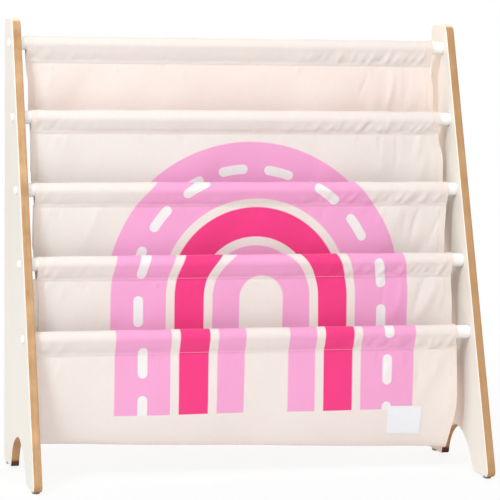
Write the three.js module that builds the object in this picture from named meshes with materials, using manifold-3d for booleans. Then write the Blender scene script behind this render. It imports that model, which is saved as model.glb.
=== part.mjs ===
// Sling bookshelf: two painted side panels, five dowels between them near the slanted front edge,
// and a canvas sling sewn into a sleeve round every dowel, hanging in four pockets.
// Millimetres. +X is the viewer's right, +Y the back, +Z up. The origin is on the floor, under the
// middle of the object's box.
import * as THREE from 'three';
import { mergeVertices } from 'three/addons/utils/BufferGeometryUtils.js';
import Module from 'manifold-3d';

const wasm = await Module();
wasm.setup();

// Side panels: outline seen from the side, depth from the front foot's tip, height from its sole
const panelHeight = 600;
const panelThickness = 12;
const panelEdgeRound = 1.5;
const innerWidth = 596; // between the panels' inner faces
const footDepth = 250; // front foot's tip to rear foot's heel
const topDepth = 56; // front edge to rear edge at the top
const rearOverhang = 21; // how far behind the heel the rear edge is at the top
const topFrontRadius = 18;
const topRearRadius = 8;
const footRadius = 8;

// Arch between the front and rear foot
const archHeight = 50.5;
const frontFootDepth = 63;
const rearFootDepth = 55;
const archApexShare = 0.53; // of the run from the front foot to the rear one
const archFootRadius = 4;
// handles of the two curves, as shares of the run from foot to apex and of the arch's height
const archFrontShares = { low: [0.13, 0.44], high: [0.5, 0.97] };
const archRearShares = { low: [0.065, 0.52], high: [0.435, 0.91] };

// Dowels: places are measured down the front edge, and square to it
const dowelDiameter = 18;
const dowelCount = 5;
const dowelInset = 22.5; // front edge to the dowel's axis
const topDowelDrop = 33.4; // panel's top down to the first dowel's axis
const topDowelPitch = 104; // first dowel to the second, along the edge
const dowelPitch = 100.5; // each further dowel, along the edge
const dowelSeatDepth = 4; // blind recess in the panel for the dowel's end

// Panel screws and their caps
const screwDiameter = 5;
const screwLength = 46;
const screwHeadDiameter = 9.5;
const screwHeadHeight = 2.4;
const screwTipLength = 4;
const screwSocketDiameter = 4;
const screwSocketDepth = 1.6;
const headBoreDiameter = 10.4; // counterbore in the panel's outer face
const headBoreDepth = 4;
const capDiameter = 13;
const capHeight = 1.6;
const capRimHeight = 0.6;
const capStemLength = 0.9;

// Floor glides
const glideDiameter = 11;
const glideHeight = 3;
const glideRound = 1;
const glidePinDiameter = 2;
const glidePinLength = 12;
const glideTipInset = 20; // front foot's tip to the front glide's axis
const glideHeelInset = 14; // heel to the rear glide's axis

// Canvas sling
const clothThickness = 1.2;
const hemGap = 13; // panel's inner face to the sling's hem, before the sleeves slide
const sleeveSeamDrop = 23; // dowel's axis down to the row of stitches that closes the sleeve
const seamBand = 3; // height of the stitched double layer
const pocketDrop = 145; // front dowel's axis down to the pocket's lowest line
const pocketCurveHeight = 70; // how high above that line the two layers start to draw together
const bottomTilt = 20; // how much lower the pocket's right end hangs than its left
const foldDepth = 2.4; // how far the soft folds stand in and out
const foldCount = 2.5; // folds across the sling
const foldRun = 90; // how far below a seam the folds and the tilt have come up to full
// how far each sleeve has slid along its dowel, first to last
const sleeveSlides = [-4, -3, 0, -3, -7];

// Sewn label on the last pocket
const labelWidth = 48;
const labelHeight = 34;
const labelThickness = 0.5;
const labelHemInset = 46; // right hem to the label
const labelRise = 17; // pocket's lowest line up to the label

// Clearances
const seatGap = 0.3; // between pieces that rest on or sit in each other
const sleeveGap = 0.4; // between a dowel and its sleeve
const cutOverrun = 1; // how far a cutter runs past the face that it opens

// Fineness of the round shapes
const arcSteps = 6;
const archSteps = 8;
const dowelSides = 24;
const boreSides = 16;
const fastenerSides = 14;
const clothColumns = 10;
const curveRows = 8;
const backRows = 4; // straight stretch of a pocket's back layer
const frontRows = 2; // straight stretch of its front layer
const labelRows = 4;
const sleeveSteps = 16; // over the top of a dowel
const bevelSteps = 2;

const panelOuterX = innerWidth / 2 + panelThickness;
const panelInnerX = innerWidth / 2;
const slingWidth = innerWidth - 2 * hemGap;
const soleZ = glideHeight + seatGap;
const frontSetback = footDepth + rearOverhang - topDepth; // front edge at the top, behind the tip
const frontLean = Math.atan(frontSetback / panelHeight);
const halfCloth = clothThickness / 2;
// the two layers that meet at a seam lie either side of the dowel's axis
const layerOffset = halfCloth + seatGap;

const materials = {
  paint: new THREE.MeshStandardMaterial({ color: 0xede8e1, roughness: 0.55, metalness: 0 }),
  dowel: new THREE.MeshStandardMaterial({ color: 0xf2eee8, roughness: 0.5, metalness: 0 }),
  canvas: new THREE.MeshStandardMaterial({ color: 0xf3e6dc, roughness: 0.9, metalness: 0 }),
  label: new THREE.MeshStandardMaterial({ color: 0xf4f4f6, roughness: 0.8, metalness: 0 }),
  screw: new THREE.MeshStandardMaterial({ color: 0xb9bcc0, roughness: 0.35, metalness: 1 }),
  cap: new THREE.MeshStandardMaterial({ color: 0xf1efeb, roughness: 0.45, metalness: 0 }),
  glide: new THREE.MeshStandardMaterial({ color: 0x9a9c9f, roughness: 0.6, metalness: 0 }),
};

const rack = new THREE.Group();

function addPiece(name, geometry, material) {
  const mesh = new THREE.Mesh(geometry, material);
  mesh.name = name;
  rack.add(mesh);
  return mesh;
}

// A geometry with only merged positions, no flat slivers, and its faces pointing out
function cleaned(geometry) {
  const bare = new THREE.BufferGeometry();
  bare.setAttribute('position', geometry.getAttribute('position').clone());
  if (geometry.index) bare.setIndex(geometry.index.clone());
  const merged = mergeVertices(bare);
  const corners = merged.index.array;
  const kept = [];
  for (let i = 0; i < corners.length; i += 3) {
    const [a, b, c] = [corners[i], corners[i + 1], corners[i + 2]];
    if (a !== b && b !== c && c !== a) kept.push(a, b, c);
  }
  const place = merged.getAttribute('position');
  const [p, q, r] = [new THREE.Vector3(), new THREE.Vector3(), new THREE.Vector3()];
  let volume = 0;
  for (let i = 0; i < kept.length; i += 3) {
    p.fromBufferAttribute(place, kept[i]);
    q.fromBufferAttribute(place, kept[i + 1]);
    r.fromBufferAttribute(place, kept[i + 2]);
    volume += p.dot(q.cross(r));
  }
  if (volume < 0) kept.reverse();
  merged.setIndex(kept);
  return merged;
}

function toSolid(geometry) {
  const mesh = cleaned(geometry);
  return new wasm.Manifold(new wasm.Mesh({
    numProp: 3,
    vertProperties: Float32Array.from(mesh.getAttribute('position').array),
    triVerts: Uint32Array.from(mesh.index.array),
  }));
}

function fromSolid(solid) {
  const mesh = solid.getMesh();
  const geometry = new THREE.BufferGeometry();
  geometry.setAttribute('position', new THREE.BufferAttribute(Float32Array.from(mesh.vertProperties), 3));
  geometry.setIndex(Array.from(mesh.triVerts));
  return geometry;
}

// A side-view outline is drawn in depth and height, and extruded along X
const sideView = new THREE.Matrix4().makeBasis(
  new THREE.Vector3(0, 1, 0), new THREE.Vector3(0, 0, 1), new THREE.Vector3(1, 0, 0));

function cylinderAlongX(diameter, length, sides, x, y, z) {
  const geometry = new THREE.CylinderGeometry(diameter / 2, diameter / 2, length, sides);
  geometry.rotateZ(Math.PI / 2);
  geometry.translate(x, y, z);
  return geometry;
}

// Dowel axes, first at the top: depth and height of each
const dowelAxes = [];
for (let n = 0; n < dowelCount; n += 1) {
  const along = n === 0 ? 0 : topDowelPitch + dowelPitch * (n - 1);
  const height = panelHeight - topDowelDrop - along * Math.cos(frontLean);
  const depth = height * Math.tan(frontLean) + dowelInset / Math.cos(frontLean);
  dowelAxes.push({ y: depth, z: soleZ + height });
}

// Side panels

// The arc that rounds a corner, as the two points where it starts and ends and its centre
function cornerArc(before, corner, after, radius) {
  const back = before.clone().sub(corner).normalize();
  const on = after.clone().sub(corner).normalize();
  const half = back.angleTo(on) / 2;
  const run = radius / Math.tan(half);
  const middle = back.clone().add(on).normalize();
  return {
    start: corner.clone().addScaledVector(back, run),
    end: corner.clone().addScaledVector(on, run),
    centre: corner.clone().addScaledVector(middle, radius / Math.sin(half)),
  };
}

function addCorner(shape, before, corner, after, radius) {
  const arc = cornerArc(before, corner, after, radius);
  shape.lineTo(arc.start.x, arc.start.y);
  const from = arc.start.clone().sub(arc.centre).angle();
  const sweepTo = arc.end.clone().sub(arc.centre).angle();
  const sweep = (sweepTo - from + 2 * Math.PI) % (2 * Math.PI);
  for (let i = 1; i <= arcSteps; i += 1) {
    const angle = from + (sweep * i) / arcSteps;
    shape.lineTo(arc.centre.x + radius * Math.cos(angle), arc.centre.y + radius * Math.sin(angle));
  }
}

function addCurve(shape, start, low, high, end) {
  const curve = new THREE.CubicBezierCurve(start, low, high, end);
  curve.getPoints(archSteps).slice(1).forEach((point) => shape.lineTo(point.x, point.y));
}

function panelOutline() {
  const at = (depth, height) => new THREE.Vector2(depth, height);
  const tip = at(0, 0);
  const archFront = at(frontFootDepth, 0);
  const archRear = at(footDepth - rearFootDepth, 0);
  const apex = at(THREE.MathUtils.lerp(archFront.x, archRear.x, archApexShare), archHeight);
  const heel = at(footDepth, 0);
  const topRear = at(footDepth + rearOverhang, panelHeight);
  const topFront = at(frontSetback, panelHeight);
  const handle = (foot, [run, rise]) => at(foot.x + (apex.x - foot.x) * run, archHeight * rise);
  const frontLow = handle(archFront, archFrontShares.low);
  const frontHigh = handle(archFront, archFrontShares.high);
  const rearLow = handle(archRear, archRearShares.low);
  const rearHigh = handle(archRear, archRearShares.high);

  const shape = new THREE.Shape();
  const start = cornerArc(topFront, tip, archFront, footRadius).end;
  shape.moveTo(start.x, start.y);
  const frontArc = cornerArc(tip, archFront, frontLow, archFootRadius);
  shape.lineTo(frontArc.start.x, frontArc.start.y);
  shape.lineTo(frontArc.end.x, frontArc.end.y);
  addCurve(shape, frontArc.end, frontLow, frontHigh, apex);
  const rearArc = cornerArc(rearLow, archRear, heel, archFootRadius);
  addCurve(shape, apex, rearHigh, rearLow, rearArc.start);
  shape.lineTo(rearArc.end.x, rearArc.end.y);
  addCorner(shape, archRear, heel, topRear, footRadius);
  addCorner(shape, heel, topRear, topFront, topRearRadius);
  addCorner(shape, topRear, topFront, tip, topFrontRadius);
  addCorner(shape, topFront, tip, archFront, footRadius);
  return shape;
}

// side is -1 for the left panel and 1 for the right one
function sidePanel(side) {
  const board = new THREE.ExtrudeGeometry(panelOutline(), {
    depth: panelThickness - 2 * panelEdgeRound,
    bevelEnabled: true,
    bevelThickness: panelEdgeRound,
    bevelSize: panelEdgeRound,
    bevelOffset: -panelEdgeRound,
    bevelSegments: bevelSteps,
    steps: 1,
  });
  board.applyMatrix4(sideView);
  const middleX = side * (panelInnerX + panelThickness / 2);
  board.translate(middleX - panelThickness / 2 + panelEdgeRound, 0, soleZ);
  let solid = toSolid(board);
  for (const { y, z } of dowelAxes) {
    const seat = cylinderAlongX(dowelDiameter + 2 * seatGap, dowelSeatDepth + cutOverrun, dowelSides,
      side * (panelInnerX + (dowelSeatDepth - cutOverrun) / 2), y, z);
    const headBore = cylinderAlongX(headBoreDiameter, headBoreDepth + cutOverrun, boreSides,
      side * (panelOuterX - (headBoreDepth - cutOverrun) / 2), y, z);
    const through = cylinderAlongX(screwDiameter + 2 * seatGap, panelThickness + cutOverrun, boreSides,
      middleX, y, z);
    solid = solid.subtract(toSolid(seat)).subtract(toSolid(headBore)).subtract(toSolid(through));
  }
  for (const depth of [glideTipInset, footDepth - glideHeelInset]) {
    const pinLength = glidePinLength + seatGap + cutOverrun;
    const pinHole = new THREE.CylinderGeometry(
      glidePinDiameter / 2 + seatGap, glidePinDiameter / 2 + seatGap, pinLength, boreSides);
    pinHole.rotateX(Math.PI / 2);
    pinHole.translate(middleX, depth, soleZ - cutOverrun + pinLength / 2);
    solid = solid.subtract(toSolid(pinHole));
  }
  return fromSolid(solid);
}

addPiece('side_panel_left', sidePanel(-1), materials.paint);
addPiece('side_panel_right', sidePanel(1), materials.paint);

// Dowels, with a pilot bore in each end for the panel screw

const dowelEndX = panelInnerX + dowelSeatDepth - seatGap;
const screwHeadX = panelOuterX - headBoreDepth + seatGap; // under the head, just clear of its seat

function dowel({ y, z }) {
  let solid = toSolid(cylinderAlongX(dowelDiameter, 2 * dowelEndX, dowelSides, 0, y, z));
  const boreLength = screwLength - (screwHeadX - dowelEndX) + seatGap + cutOverrun;
  for (const side of [-1, 1]) {
    const pilot = cylinderAlongX(screwDiameter + 2 * seatGap, boreLength, boreSides,
      side * (dowelEndX + cutOverrun - boreLength / 2), y, z);
    solid = solid.subtract(toSolid(pilot));
  }
  return fromSolid(solid);
}

dowelAxes.forEach((axis, n) => addPiece(`dowel_${n + 1}`, dowel(axis), materials.dowel));

// Screws and caps are turned shapes: a profile of radius and height, laid along X and facing out

function turned(profile, sides) {
  return cleaned(new THREE.LatheGeometry(profile.map(([r, h]) => new THREE.Vector2(r, h)), sides));
}

function laidOut(geometry, side, x, y, z) {
  const laid = geometry.clone();
  laid.rotateZ(-side * Math.PI / 2);
  laid.translate(side * x, y, z);
  return laid;
}

const headRadius = screwHeadDiameter / 2;
const socketRadius = screwSocketDiameter / 2;
const shankRadius = screwDiameter / 2;
const screwShape = turned([
  [0, -screwLength],
  [shankRadius, screwTipLength - screwLength],
  [shankRadius, 0],
  [headRadius, 0],
  [headRadius, screwHeadHeight],
  [socketRadius, screwHeadHeight],
  [socketRadius, screwHeadHeight - screwSocketDepth],
  [0, screwHeadHeight - screwSocketDepth],
], fastenerSides);

const capRadius = capDiameter / 2;
const stemRadius = headBoreDiameter / 2 - seatGap;
const capShape = turned([
  [0, -capStemLength],
  [stemRadius, -capStemLength],
  [stemRadius, 0],
  [capRadius, 0],
  [capRadius, capRimHeight],
  [stemRadius, capHeight],
  [0, capHeight],
], fastenerSides);

for (const [sideName, side] of [['left', -1], ['right', 1]]) {
  dowelAxes.forEach(({ y, z }, n) => {
    addPiece(`panel_screw_${sideName}_${n + 1}`,
      laidOut(screwShape, side, screwHeadX, y, z), materials.screw);
    addPiece(`screw_cap_${sideName}_${n + 1}`,
      laidOut(capShape, side, panelOuterX + seatGap, y, z), materials.cap);
  });
}

// Floor glides: a disc under each foot, with a pin up into the panel

const glideRadius = glideDiameter / 2;
const pinRadius = glidePinDiameter / 2;
const glideShape = turned([
  [0, 0],
  [glideRadius - glideRound, 0],
  [glideRadius, glideRound],
  [glideRadius, glideHeight],
  [pinRadius, glideHeight],
  [pinRadius, glideHeight + glidePinLength],
  [0, glideHeight + glidePinLength],
], fastenerSides);
glideShape.rotateX(Math.PI / 2);

for (const [sideName, side] of [['left', -1], ['right', 1]]) {
  for (const [endName, depth] of [['front', glideTipInset], ['rear', footDepth - glideHeelInset]]) {
    const glide = glideShape.clone();
    glide.translate(side * (panelInnerX + panelThickness / 2), depth, 0);
    addPiece(`floor_glide_${endName}_${sideName}`, glide, materials.glide);
  }
}

// Sleeves: the cloth goes over the dowel and both layers come down to the stitched band

const sleeveInner = dowelDiameter / 2 + sleeveGap;
const sleeveOuter = sleeveInner + clothThickness;
const bandTop = sleeveSeamDrop - seamBand / 2;
const bandBottom = sleeveSeamDrop + seamBand / 2;

// Points of an arc over the top of a circle, between its two tangents to a point below it
function overTheTop(path, radius, halfBreadth, drop) {
  const reach = Math.hypot(halfBreadth, drop);
  const first = Math.atan2(-drop, halfBreadth) + Math.acos(radius / reach);
  const sweep = Math.PI - 2 * first;
  for (let i = 0; i <= sleeveSteps; i += 1) {
    const angle = first + (sweep * i) / sleeveSteps;
    path.lineTo(radius * Math.cos(angle), radius * Math.sin(angle));
  }
}

function sleeveShape() {
  const outer = new THREE.Shape();
  outer.moveTo(-clothThickness, -bandBottom);
  outer.lineTo(clothThickness, -bandBottom);
  outer.lineTo(clothThickness, -bandTop);
  overTheTop(outer, sleeveOuter, clothThickness, bandTop);
  outer.lineTo(-clothThickness, -bandTop);
  const inner = new THREE.Path();
  inner.moveTo(0, -bandTop);
  overTheTop(inner, sleeveInner, 0, bandTop);
  outer.holes.push(inner);
  return outer;
}

dowelAxes.forEach(({ y, z }, n) => {
  const sleeve = new THREE.ExtrudeGeometry(sleeveShape(), { depth: slingWidth, bevelEnabled: false, steps: 1 });
  sleeve.applyMatrix4(sideView);
  sleeve.translate(sleeveSlides[n] - slingWidth / 2, y, z);
  addPiece(`sling_sleeve_${n + 1}`, cleaned(sleeve), materials.canvas);
});

// Pockets: the back layer hangs from the dowel above, turns at the bottom and rises to the next dowel

const ease = (share) => {
  const held = Math.min(Math.max(share, 0), 1);
  return held * held * (3 - 2 * held);
};

// How far the cloth stands out at a share of the sling's width: straight between its columns
function foldAt(across) {
  const column = across * clothColumns;
  const left = Math.min(Math.floor(column), clothColumns - 1);
  const stand = (j) => foldDepth * Math.sin(2 * Math.PI * foldCount * (j / clothColumns));
  return THREE.MathUtils.lerp(stand(left), stand(left + 1), column - left);
}

// The pocket's middle line, back layer first: a place, the cloth's normal, how far it is below its
// seam, and its share of the way from the upper sleeve to the lower one
function pocketPath(n) {
  const upper = dowelAxes[n];
  const lower = dowelAxes[n + 1];
  const backY = upper.y - layerOffset;
  const frontY = lower.y + layerOffset;
  const backTop = upper.z - bandBottom - seatGap;
  const frontTop = lower.z - bandBottom - seatGap;
  const bottomZ = lower.z - pocketDrop + halfCloth;
  const curveZ = bottomZ + pocketCurveHeight;
  const centreY = (backY + frontY) / 2;
  const reach = (backY - frontY) / 2;

  const onCurve = (angle) => {
    const place = new THREE.Vector2(
      centreY + reach * Math.cos(angle), curveZ - pocketCurveHeight * Math.sin(angle));
    const normal = new THREE.Vector2(
      pocketCurveHeight * Math.cos(angle), -reach * Math.sin(angle)).normalize();
    return { place, normal };
  };
  const rows = [];
  for (let i = 0; i < backRows; i += 1) {
    const z = THREE.MathUtils.lerp(backTop, curveZ, i / backRows);
    rows.push({ place: new THREE.Vector2(backY, z), normal: new THREE.Vector2(1, 0) });
  }
  for (let i = 0; i <= curveRows; i += 1) rows.push(onCurve((Math.PI * i) / curveRows));
  for (let i = 1; i <= frontRows; i += 1) {
    const z = THREE.MathUtils.lerp(curveZ, frontTop, i / frontRows);
    rows.push({ place: new THREE.Vector2(frontY, z), normal: new THREE.Vector2(-1, 0) });
  }
  const total = (backTop - bottomZ) + (frontTop - bottomZ);
  const turn = backRows + curveRows / 2;
  rows.forEach((row, i) => {
    row.below = (i <= turn ? backTop : frontTop) - row.place.y;
    const gone = i <= turn ? backTop - row.place.y : total - (frontTop - row.place.y);
    row.way = gone / total;
  });
  const wayAtHeight = (height) => (total - (frontTop - height)) / total;
  return { rows, onCurve, curveZ, bottomZ, frontTop, wayAtHeight };
}

// A point of the hanging cloth: off the middle line, across the sling, folded and tilted
function clothPoint(n, row, off, across) {
  const y = row.place.x + row.normal.x * off;
  const z = row.place.y + row.normal.y * off;
  const slide = THREE.MathUtils.lerp(sleeveSlides[n], sleeveSlides[n + 1], row.way);
  const grown = ease(row.below / foldRun);
  const x = slide + (across - 0.5) * slingWidth;
  return [x, y + grown * foldAt(across), z - grown * bottomTilt * (across - 0.5)];
}

// A closed sheet with two faces: rows along the cloth, columns across it
function sheetSolid(n, rows, acrossShares, offLow, offHigh) {
  const places = [];
  for (const off of [offLow, offHigh]) {
    for (const row of rows) {
      for (const across of acrossShares) places.push(...clothPoint(n, row, off, across));
    }
  }
  const wide = acrossShares.length;
  const face = rows.length * wide;
  const corners = [];
  const quad = (a, b, c, d) => corners.push(a, b, c, a, c, d);
  for (let i = 0; i < rows.length - 1; i += 1) {
    for (let j = 0; j < wide - 1; j += 1) {
      const a = i * wide + j;
      quad(a, a + wide, a + wide + 1, a + 1);
      quad(face + a, face + a + 1, face + a + wide + 1, face + a + wide);
    }
    const [left, right] = [i * wide, i * wide + wide - 1];
    quad(left, face + left, face + left + wide, left + wide);
    quad(right, right + wide, face + right + wide, face + right);
  }
  for (let j = 0; j < wide - 1; j += 1) {
    const last = face - wide + j;
    quad(j, j + 1, face + j + 1, face + j);
    quad(last, face + last, face + last + 1, last + 1);
  }
  const geometry = new THREE.BufferGeometry();
  geometry.setAttribute('position', new THREE.Float32BufferAttribute(places, 3));
  geometry.setIndex(corners);
  return cleaned(geometry);
}

const columnShares = Array.from({ length: clothColumns + 1 }, (_, j) => j / clothColumns);

for (let n = 0; n < dowelCount - 1; n += 1) {
  const { rows } = pocketPath(n);
  addPiece(`sling_pocket_${n + 1}`, sheetSolid(n, rows, columnShares, -halfCloth, halfCloth), materials.canvas);
}

// Label, sewn on the front layer of the last pocket

function sewnLabel() {
  const n = dowelCount - 2;
  const path = pocketPath(n);
  const rows = [];
  for (let i = 0; i <= labelRows; i += 1) {
    const rise = labelRise + (labelHeight * i) / labelRows;
    const row = path.onCurve(Math.PI - Math.asin(1 - rise / pocketCurveHeight));
    row.below = path.frontTop - row.place.y;
    row.way = path.wayAtHeight(row.place.y);
    rows.push(row);
  }
  const right = 1 - labelHemInset / slingWidth;
  const left = right - labelWidth / slingWidth;
  const between = columnShares.filter((share) => share > left && share < right);
  const off = halfCloth + seatGap;
  return sheetSolid(n, rows, [left, ...between, right], off, off + labelThickness);
}

addPiece('sewn_label', sewnLabel(), materials.label);

// The middle of the box comes over the origin
const box = new THREE.Box3().setFromObject(rack);
rack.position.set(0, -(box.min.y + box.max.y) / 2, 0);

export default rack;
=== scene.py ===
# Sling bookshelf: two painted boards, five white dowels, and a printed canvas sling sewn round the
# dowels, with its hems, stitches and blank tape label. Metres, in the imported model's own frame.
import math

import bpy
import numpy as np
from mathutils import Matrix, Vector

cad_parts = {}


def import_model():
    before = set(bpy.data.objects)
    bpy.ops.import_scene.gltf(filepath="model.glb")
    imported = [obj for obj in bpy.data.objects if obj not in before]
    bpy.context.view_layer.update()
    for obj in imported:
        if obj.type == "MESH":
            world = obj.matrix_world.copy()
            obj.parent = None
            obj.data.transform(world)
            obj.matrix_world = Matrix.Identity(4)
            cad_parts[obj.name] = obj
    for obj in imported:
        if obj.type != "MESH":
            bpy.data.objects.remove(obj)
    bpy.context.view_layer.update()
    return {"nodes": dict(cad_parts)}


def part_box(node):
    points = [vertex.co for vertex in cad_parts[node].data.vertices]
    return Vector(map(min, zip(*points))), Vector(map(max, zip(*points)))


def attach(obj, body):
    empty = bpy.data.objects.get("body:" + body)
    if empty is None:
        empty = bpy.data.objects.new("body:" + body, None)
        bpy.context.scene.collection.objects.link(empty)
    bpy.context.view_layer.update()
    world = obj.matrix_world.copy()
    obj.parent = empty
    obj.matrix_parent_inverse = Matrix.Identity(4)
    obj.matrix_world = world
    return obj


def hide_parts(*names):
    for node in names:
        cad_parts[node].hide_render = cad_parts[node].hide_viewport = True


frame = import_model()

# Side boards: outline seen from the side, depth from the front foot's tip, height from its sole
FOOT_DEPTH = 0.2535
TOP_DEPTH = 0.0615
REAR_OVERHANG = 0.023
TOP_FRONT_RADIUS = 0.018
TOP_REAR_RADIUS = 0.012
FOOT_RADIUS = 0.008
ARCH_HEIGHT = 0.0505
FRONT_FOOT_DEPTH = 0.063
REAR_FOOT_DEPTH = 0.0585
ARCH_APEX_SHARE = 0.53
ARCH_FOOT_RADIUS = 0.004
ARCH_FRONT_SHARES = ((0.13, 0.44), (0.5, 0.97))
ARCH_REAR_SHARES = ((0.065, 0.52), (0.435, 0.91))
BOARD_EDGE_ROUND = 0.0015
ARC_STEPS = 14
ARCH_STEPS = 22
# where the faces' paint ends on the bare edge, from the board's mid plane, with a painted highlight in pale
# paint between its start and where it is full
PAINT_START = 0.0057
PAINT_FULL = 0.00585
# the paint reaches further onto the edge at each board's left, the side facing the light, which widens the
# painted highlight there
PAINT_OVERLAP = 0.0006  # further onto the edge at each board's left
PAINT_SHARPNESS = 5000.0
# painted shade on the right side of each board's bare edge, which turns away from the light
EDGE_PAINTED_SHADE_START = 0.0046
EDGE_PAINTED_SHADE_SHARPNESS = 900.0
EDGE_PAINTED_SHADE = 0.5
# painted shade: the right board's bare wood is darkened toward the dark grain colour
RIGHT_WOOD_PAINTED_SHADE = 0.55
# painted shade: the bare arch of the rear foot is darkened, where the sling shades it
REAR_FOOT_SHADE_TOP = 0.0135
REAR_FOOT_SHADE_REACH = 0.012  # ahead of the rear foot
REAR_FOOT_SHADE_SHARPNESS = 250.0
# and a painted highlight lightens the bare wood at the top end, where the light falls along the board
TOP_END_HIGHLIGHT_START = 0.5985
TOP_END_HIGHLIGHT_SHARPNESS = 400.0

# Dowels, bores and fittings
SIDES = (("left", -1), ("right", 1))
ENDS = ("front", "rear")
DOWEL_COUNT = 5
DOWEL_INSET = 0.0225
DOWEL_CHAMFER = 0.0006
DOWEL_SIDES = 56
SEAT_DEPTH = 0.004
SEAT_RADIUS = 0.0097
HEAD_BORE_RADIUS = 0.0052
HEAD_BORE_DEPTH = 0.004
THROUGH_RADIUS = 0.0028
PIN_HOLE_RADIUS = 0.0013
BORE_SIDES = 40
CUT_OVERRUN = 0.001
SEAT_GAP = 0.0003
CAP_RADIUS = 0.0054
CAP_STEM_RADIUS = 0.0049
CAP_STEM = 0.0009
CAP_RIM = 0.0012
CAP_DOME = 0.0027
CAP_CROWN = 0.7  # lower makes the dome flatter on top
CAP_STEPS = 6
CAP_SIDES = 36
GLIDE_ROUND = 0.001
GLIDE_DISC = 0.003
GLIDE_PIN_RADIUS = 0.001
GLIDE_SIDES = 36

# Canvas sling
CLOTH_THICK = 0.0007
HEM_THICK = 0.0012
HEM_WIDTH = 0.0095
LAYER_OFFSET = 0.0009  # middle of each layer from the dowel's axis, where two meet at a seam
SEAM_SLACK = 0.0001
SEAM_SWELL = 0.0004
SLEEVE_RADIUS = 0.0101
SLEEVE_PUFFS = (-0.0003, 0.0009, 0.0003, 0.0003, 0.0003)  # looser in the middle than at the ends
END_DROOP = 0.0003
DROOP_SHARES = (0.6, 0.4)  # start and run toward the left end
SEAM_LOWS = (0.0255, 0.0205, 0.0218, 0.0220, 0.0222)  # each sleeve's lower edge, below its dowel's axis
SEAM_BAND = 0.003
STITCH_RISE_IN_BAND = 0.0015
POCKET_TUCK = 0.0023  # the pocket's edge runs up between the sleeve's two layers
POCKET_DROP = 0.1492
CURVE_HEIGHT = 0.070
BOTTOM_TILT = 0.020
FOLD_DEPTH = 0.0024
FOLD_COUNT = 2.5
FOLD_RUN = 0.090
COLUMN_PITCH = 0.002
HEM_COLUMN_PITCH = 0.001
HEM_ZONE = 0.014
ROW_PITCH = 0.0028
SLEEVE_ROW_PITCH = 0.0018
# how far each sheet's left and right hem swings out to the right below its seam, first to last
DRIFT_RUN = 0.035
LEFT_DRIFTS = (0.0035, 0.0005, -0.0003, 0.003, 0.0)
RIGHT_DRIFTS = (0.0045, 0.0078, -0.0016, 0.0030, 0.001)
LEFT_ENDS = (0.0, 0.0005, -0.0020, 0.0, -0.004)  # cut wider or narrower at the left, at each dowel
RIGHT_SEAM_ENDS = (0.0, 0.0, 0.0, 0.0, 0.003)  # and wider at the right, at each seam
SEAM_END_RUN = 0.016
FRONT_WIDENING = (0.0, 0.0015, 0.007, 0.0)  # each pocket's front layer, at the left
# how each pocket's layers draw in lower down: start, run, left of each pocket, right
BACK_DRAWS = (
    (0.070, 0.045, (0.0095, 0.0095, 0.004, 0.009), 0.0085),
    (0.130, 0.060, (0.008, 0.0, 0.0, 0.0), 0.0),
)
FRONT_DRAWS = (
    (0.055, 0.045, (0.016, 0.010, 0.0, 0.0), 0.0),
    (0.062, 0.066, (0.0, 0.0, 0.0, 0.0), 0.0105),
)
DRAW_POWER = 14  # how close to the hems the cloth draws in
SLEEVE_CREASING = 2.0
SHEET_CREASING = 1.7
HEM_GROOVE = 0.0003
HEM_GROOVE_WIDTH = 0.0012
HEM_PUCKER = 0.00025
HEM_PUCKER_LENGTH = 0.0135
SEAM_ZONE = 0.004  # beside a seam, where creases flatten and hem stitches stop
SLEEVE_FREE_RUN = 0.006  # from a seam, where the sleeve comes free of the layers in it
LEAST_CREASING = 0.1
SKIRT_INSET = 0.002
SKIRT_BULGE = 0.0006  # of the sleeve's skirt, between its dowel and its seam
END_FLARE = 0.0005
END_FLARE_RUN = 0.008
RIPPLE_DEPTH = 0.00025
RIPPLE_LENGTH = 0.093
RIPPLE_PHASE = 1.7  # from each sleeve to the next
SWELL_RUN = 0.002
BACK_TURN = (0.40, 0.20)  # start and run of the turn to the back layer, as shares of the way round
SLEEVE_ARC_POINTS = 60
SLEEVE_SOFTENING = 12  # rounds that ease the corners of its section
FINE_PITCH = 0.0005
POCKET_CURVE_POINTS = 120

# Creases by kind: drops below the seam, leans in degrees, widths and lengths
CREASE_SEED = 41
SLEEVE_CREASE = ((-0.013, -0.006), (50, 72), (0.0024, 0.0042), (0.008, 0.014))
SEAM_CREASE = ((0.001, 0.006), (62, 100), (0.0018, 0.003), (0.004, 0.009))
STRAY_CREASE = ((0.004, 0.012), (60, 88), (0.0022, 0.004), (0.005, 0.012))
LONG_FOLD = ((0.02, 0.06), (55, 80), (0.007, 0.013), (0.022, 0.045))
NARROW_FOLD = ((0.014, 0.034), (62, 84), (0.0028, 0.0046), (0.012, 0.024))
SLEEVE_CREASE_HEIGHTS = (0.00035, 0.0008)
SEAM_CREASE_HEIGHTS = (0.00012, 0.00032)
STRAY_CREASE_HEIGHTS = (0.0002, 0.0005)
FORWARD_SHARE = 0.7  # of the creases; the others are hollows
# how far the rows of creases keep from the left and right hems, and their steps
SLEEVE_CREASE_INSETS = (0.012, 0.008)
SLEEVE_CREASE_STEPS = (0.010, 0.024)
SEAM_CREASE_INSETS = (0.01, 0.006)
SEAM_CREASE_STEPS = (0.008, 0.019)
STRAY_CREASES = 9
# sleeves crease more toward their ends: start and run from the middle, and what it adds there
TOWARD_RIGHT = (0.02, 0.2)
TOWARD_LEFT = (0.2, 0.08)
LEAST_STRENGTH = 0.3
RIGHT_STRENGTH = 0.9
LEFT_STRENGTH = 0.5
CREASE_SPREAD = 0.6
CREASE_CROWDING = 0.5  # stronger creases are closer together
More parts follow.
